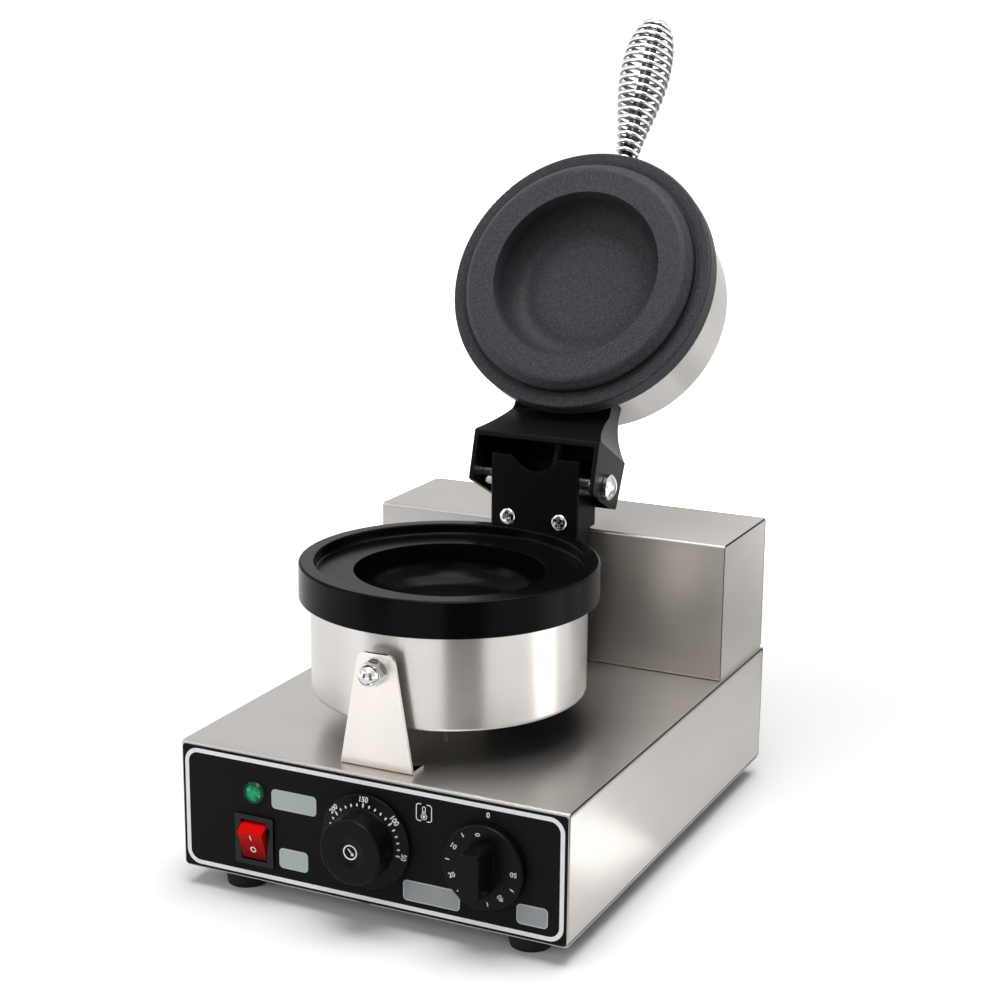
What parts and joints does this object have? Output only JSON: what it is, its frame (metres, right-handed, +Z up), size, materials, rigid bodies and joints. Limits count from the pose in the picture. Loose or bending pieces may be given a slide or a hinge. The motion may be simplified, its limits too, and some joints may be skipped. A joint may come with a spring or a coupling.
{
  "type": "countertop_bun_press",
  "caption": "Countertop press for round filled buns: steel base with dials and switch, fixed lower drum, upper drum on a rear hinge with a coil handle.",
  "frame": {"origin": "On the worktop, under the middle of the outline with the lid open.", "axes": "X across, Y from the front panel to the rear, Z up. The control panel faces -Y."},
  "size_m": [0.25, 0.4473, 0.5046],
  "materials": {
    "stainless_sheet": "brushed lengthwise",
    "stainless_drum": "brushed around the drum",
    "zinc_steel": "zinc plated",
    "bright_steel": "polished",
    "coated_casting": "black non-stick coat with a fine sparkle",
    "black_powder_coat": "satin powder coat",
    "heater_tube": "oxidised",
    "fibre_packing": "white fibre",
    "cable_sheath": "matte",
    "copper": "drawn",
    "printed_overlay": "fine matte, white border line",
    "label_grey": "matte",
    "black_plastic": "moulded",
    "terminal_plastic": "moulded",
    "red_plastic": "moulded, glossy",
    "green_lens": "glossy, faceted inside",
    "spindle_brass": "turned",
    "foot_rubber": "matte"
  },
  "bodies": {
    "root": {"base_shell": "stainless_sheet", "base_sides": "stainless_sheet", "bottom_plate": "zinc_steel", "bottom_plate_screws": "bright_steel", "rubber_feet": "foot_rubber", "foot_screws": "zinc_steel", "control_overlay": "printed_overlay", "label_plates": "label_grey", "rear_box_shell": "stainless_sheet", "rear_box_sides": "stainless_sheet", "rear_box_back_cover": "stainless_sheet", "rear_box_screws": "bright_steel", "front_bracket": "stainless_sheet", "front_bracket_screws": "bright_steel", "dome_nut": "bright_steel", "front_stud": "zinc_steel", "front_spacer": "zinc_steel", "lower_drum_shell": "stainless_drum", "lower_mould_plate": "coated_casting", "lower_heating_element": "heater_tube", "lower_insulation": "fibre_packing", "lower_centre_bolt": "zinc_steel", "lower_heater_leads": "cable_sheath", "lead_sleeve": "cable_sheath", "thermostat_bulb": "copper", "rear_stud": "zinc_steel", "rear_spacer": "zinc_steel", "stud_nuts": "zinc_steel", "hinge_post": "zinc_steel", "hinge_post_screws": "zinc_steel", "lower_hinge_bracket": "black_powder_coat", "hinge_bracket_screws": "bright_steel", "hinge_bolts": "bright_steel", "hinge_spacers": "bright_steel", "hinge_nuts": "zinc_steel", "post_cable": "cable_sheath", "thermostat_body": "black_plastic", "timer_body": "black_plastic", "dial_nuts": "zinc_steel", "switch_housing": "black_plastic", "pilot_lamp_body": "black_plastic", "pilot_lamp_lens": "green_lens", "terminal_block": "terminal_plastic", "cable_gland": "black_plastic"},
    "lid": {"upper_mould_plate": "coated_casting", "upper_drum_shell": "stainless_drum", "upper_heating_element": "heater_tube", "upper_insulation": "fibre_packing", "upper_centre_bolt": "zinc_steel", "upper_hinge_bracket": "black_powder_coat", "upper_bracket_screws": "bright_steel", "handle_rod": "bright_steel", "handle_nuts": "bright_steel", "handle_spring": "bright_steel", "lid_cable": "cable_sheath"},
    "thermostat_dial": {"thermostat_knob": "black_plastic", "thermostat_spindle": "spindle_brass"},
    "timer_dial": {"timer_knob": "black_plastic", "timer_spindle": "spindle_brass"},
    "rocker": {"switch_rocker": "red_plastic"}
  },
  "joints": [
    {"name": "lid_hinge", "type": "hinge", "parent": "root", "child": "lid", "pos_m": [0, 0.03634, 0.2125], "axis": [1, 0, 0], "range_deg": [0, 119]},
    {"name": "thermostat_turn", "type": "hinge", "parent": "root", "child": "thermostat_dial", "pos_m": [0.0005, -0.20066, 0.0525], "axis": [0, 1, 0], "range_deg": [-125, 140]},
    {"name": "timer_turn", "type": "hinge", "parent": "root", "child": "timer_dial", "pos_m": [0.0755, -0.20066, 0.0525], "axis": [0, 1, 0], "range_deg": [0, 300]},
    {"name": "rocker_tilt", "type": "hinge", "parent": "root", "child": "rocker", "pos_m": [-0.075, -0.19666, 0.0375], "axis": [-1, 0, 0], "range_deg": [0, 36]}
  ]
}
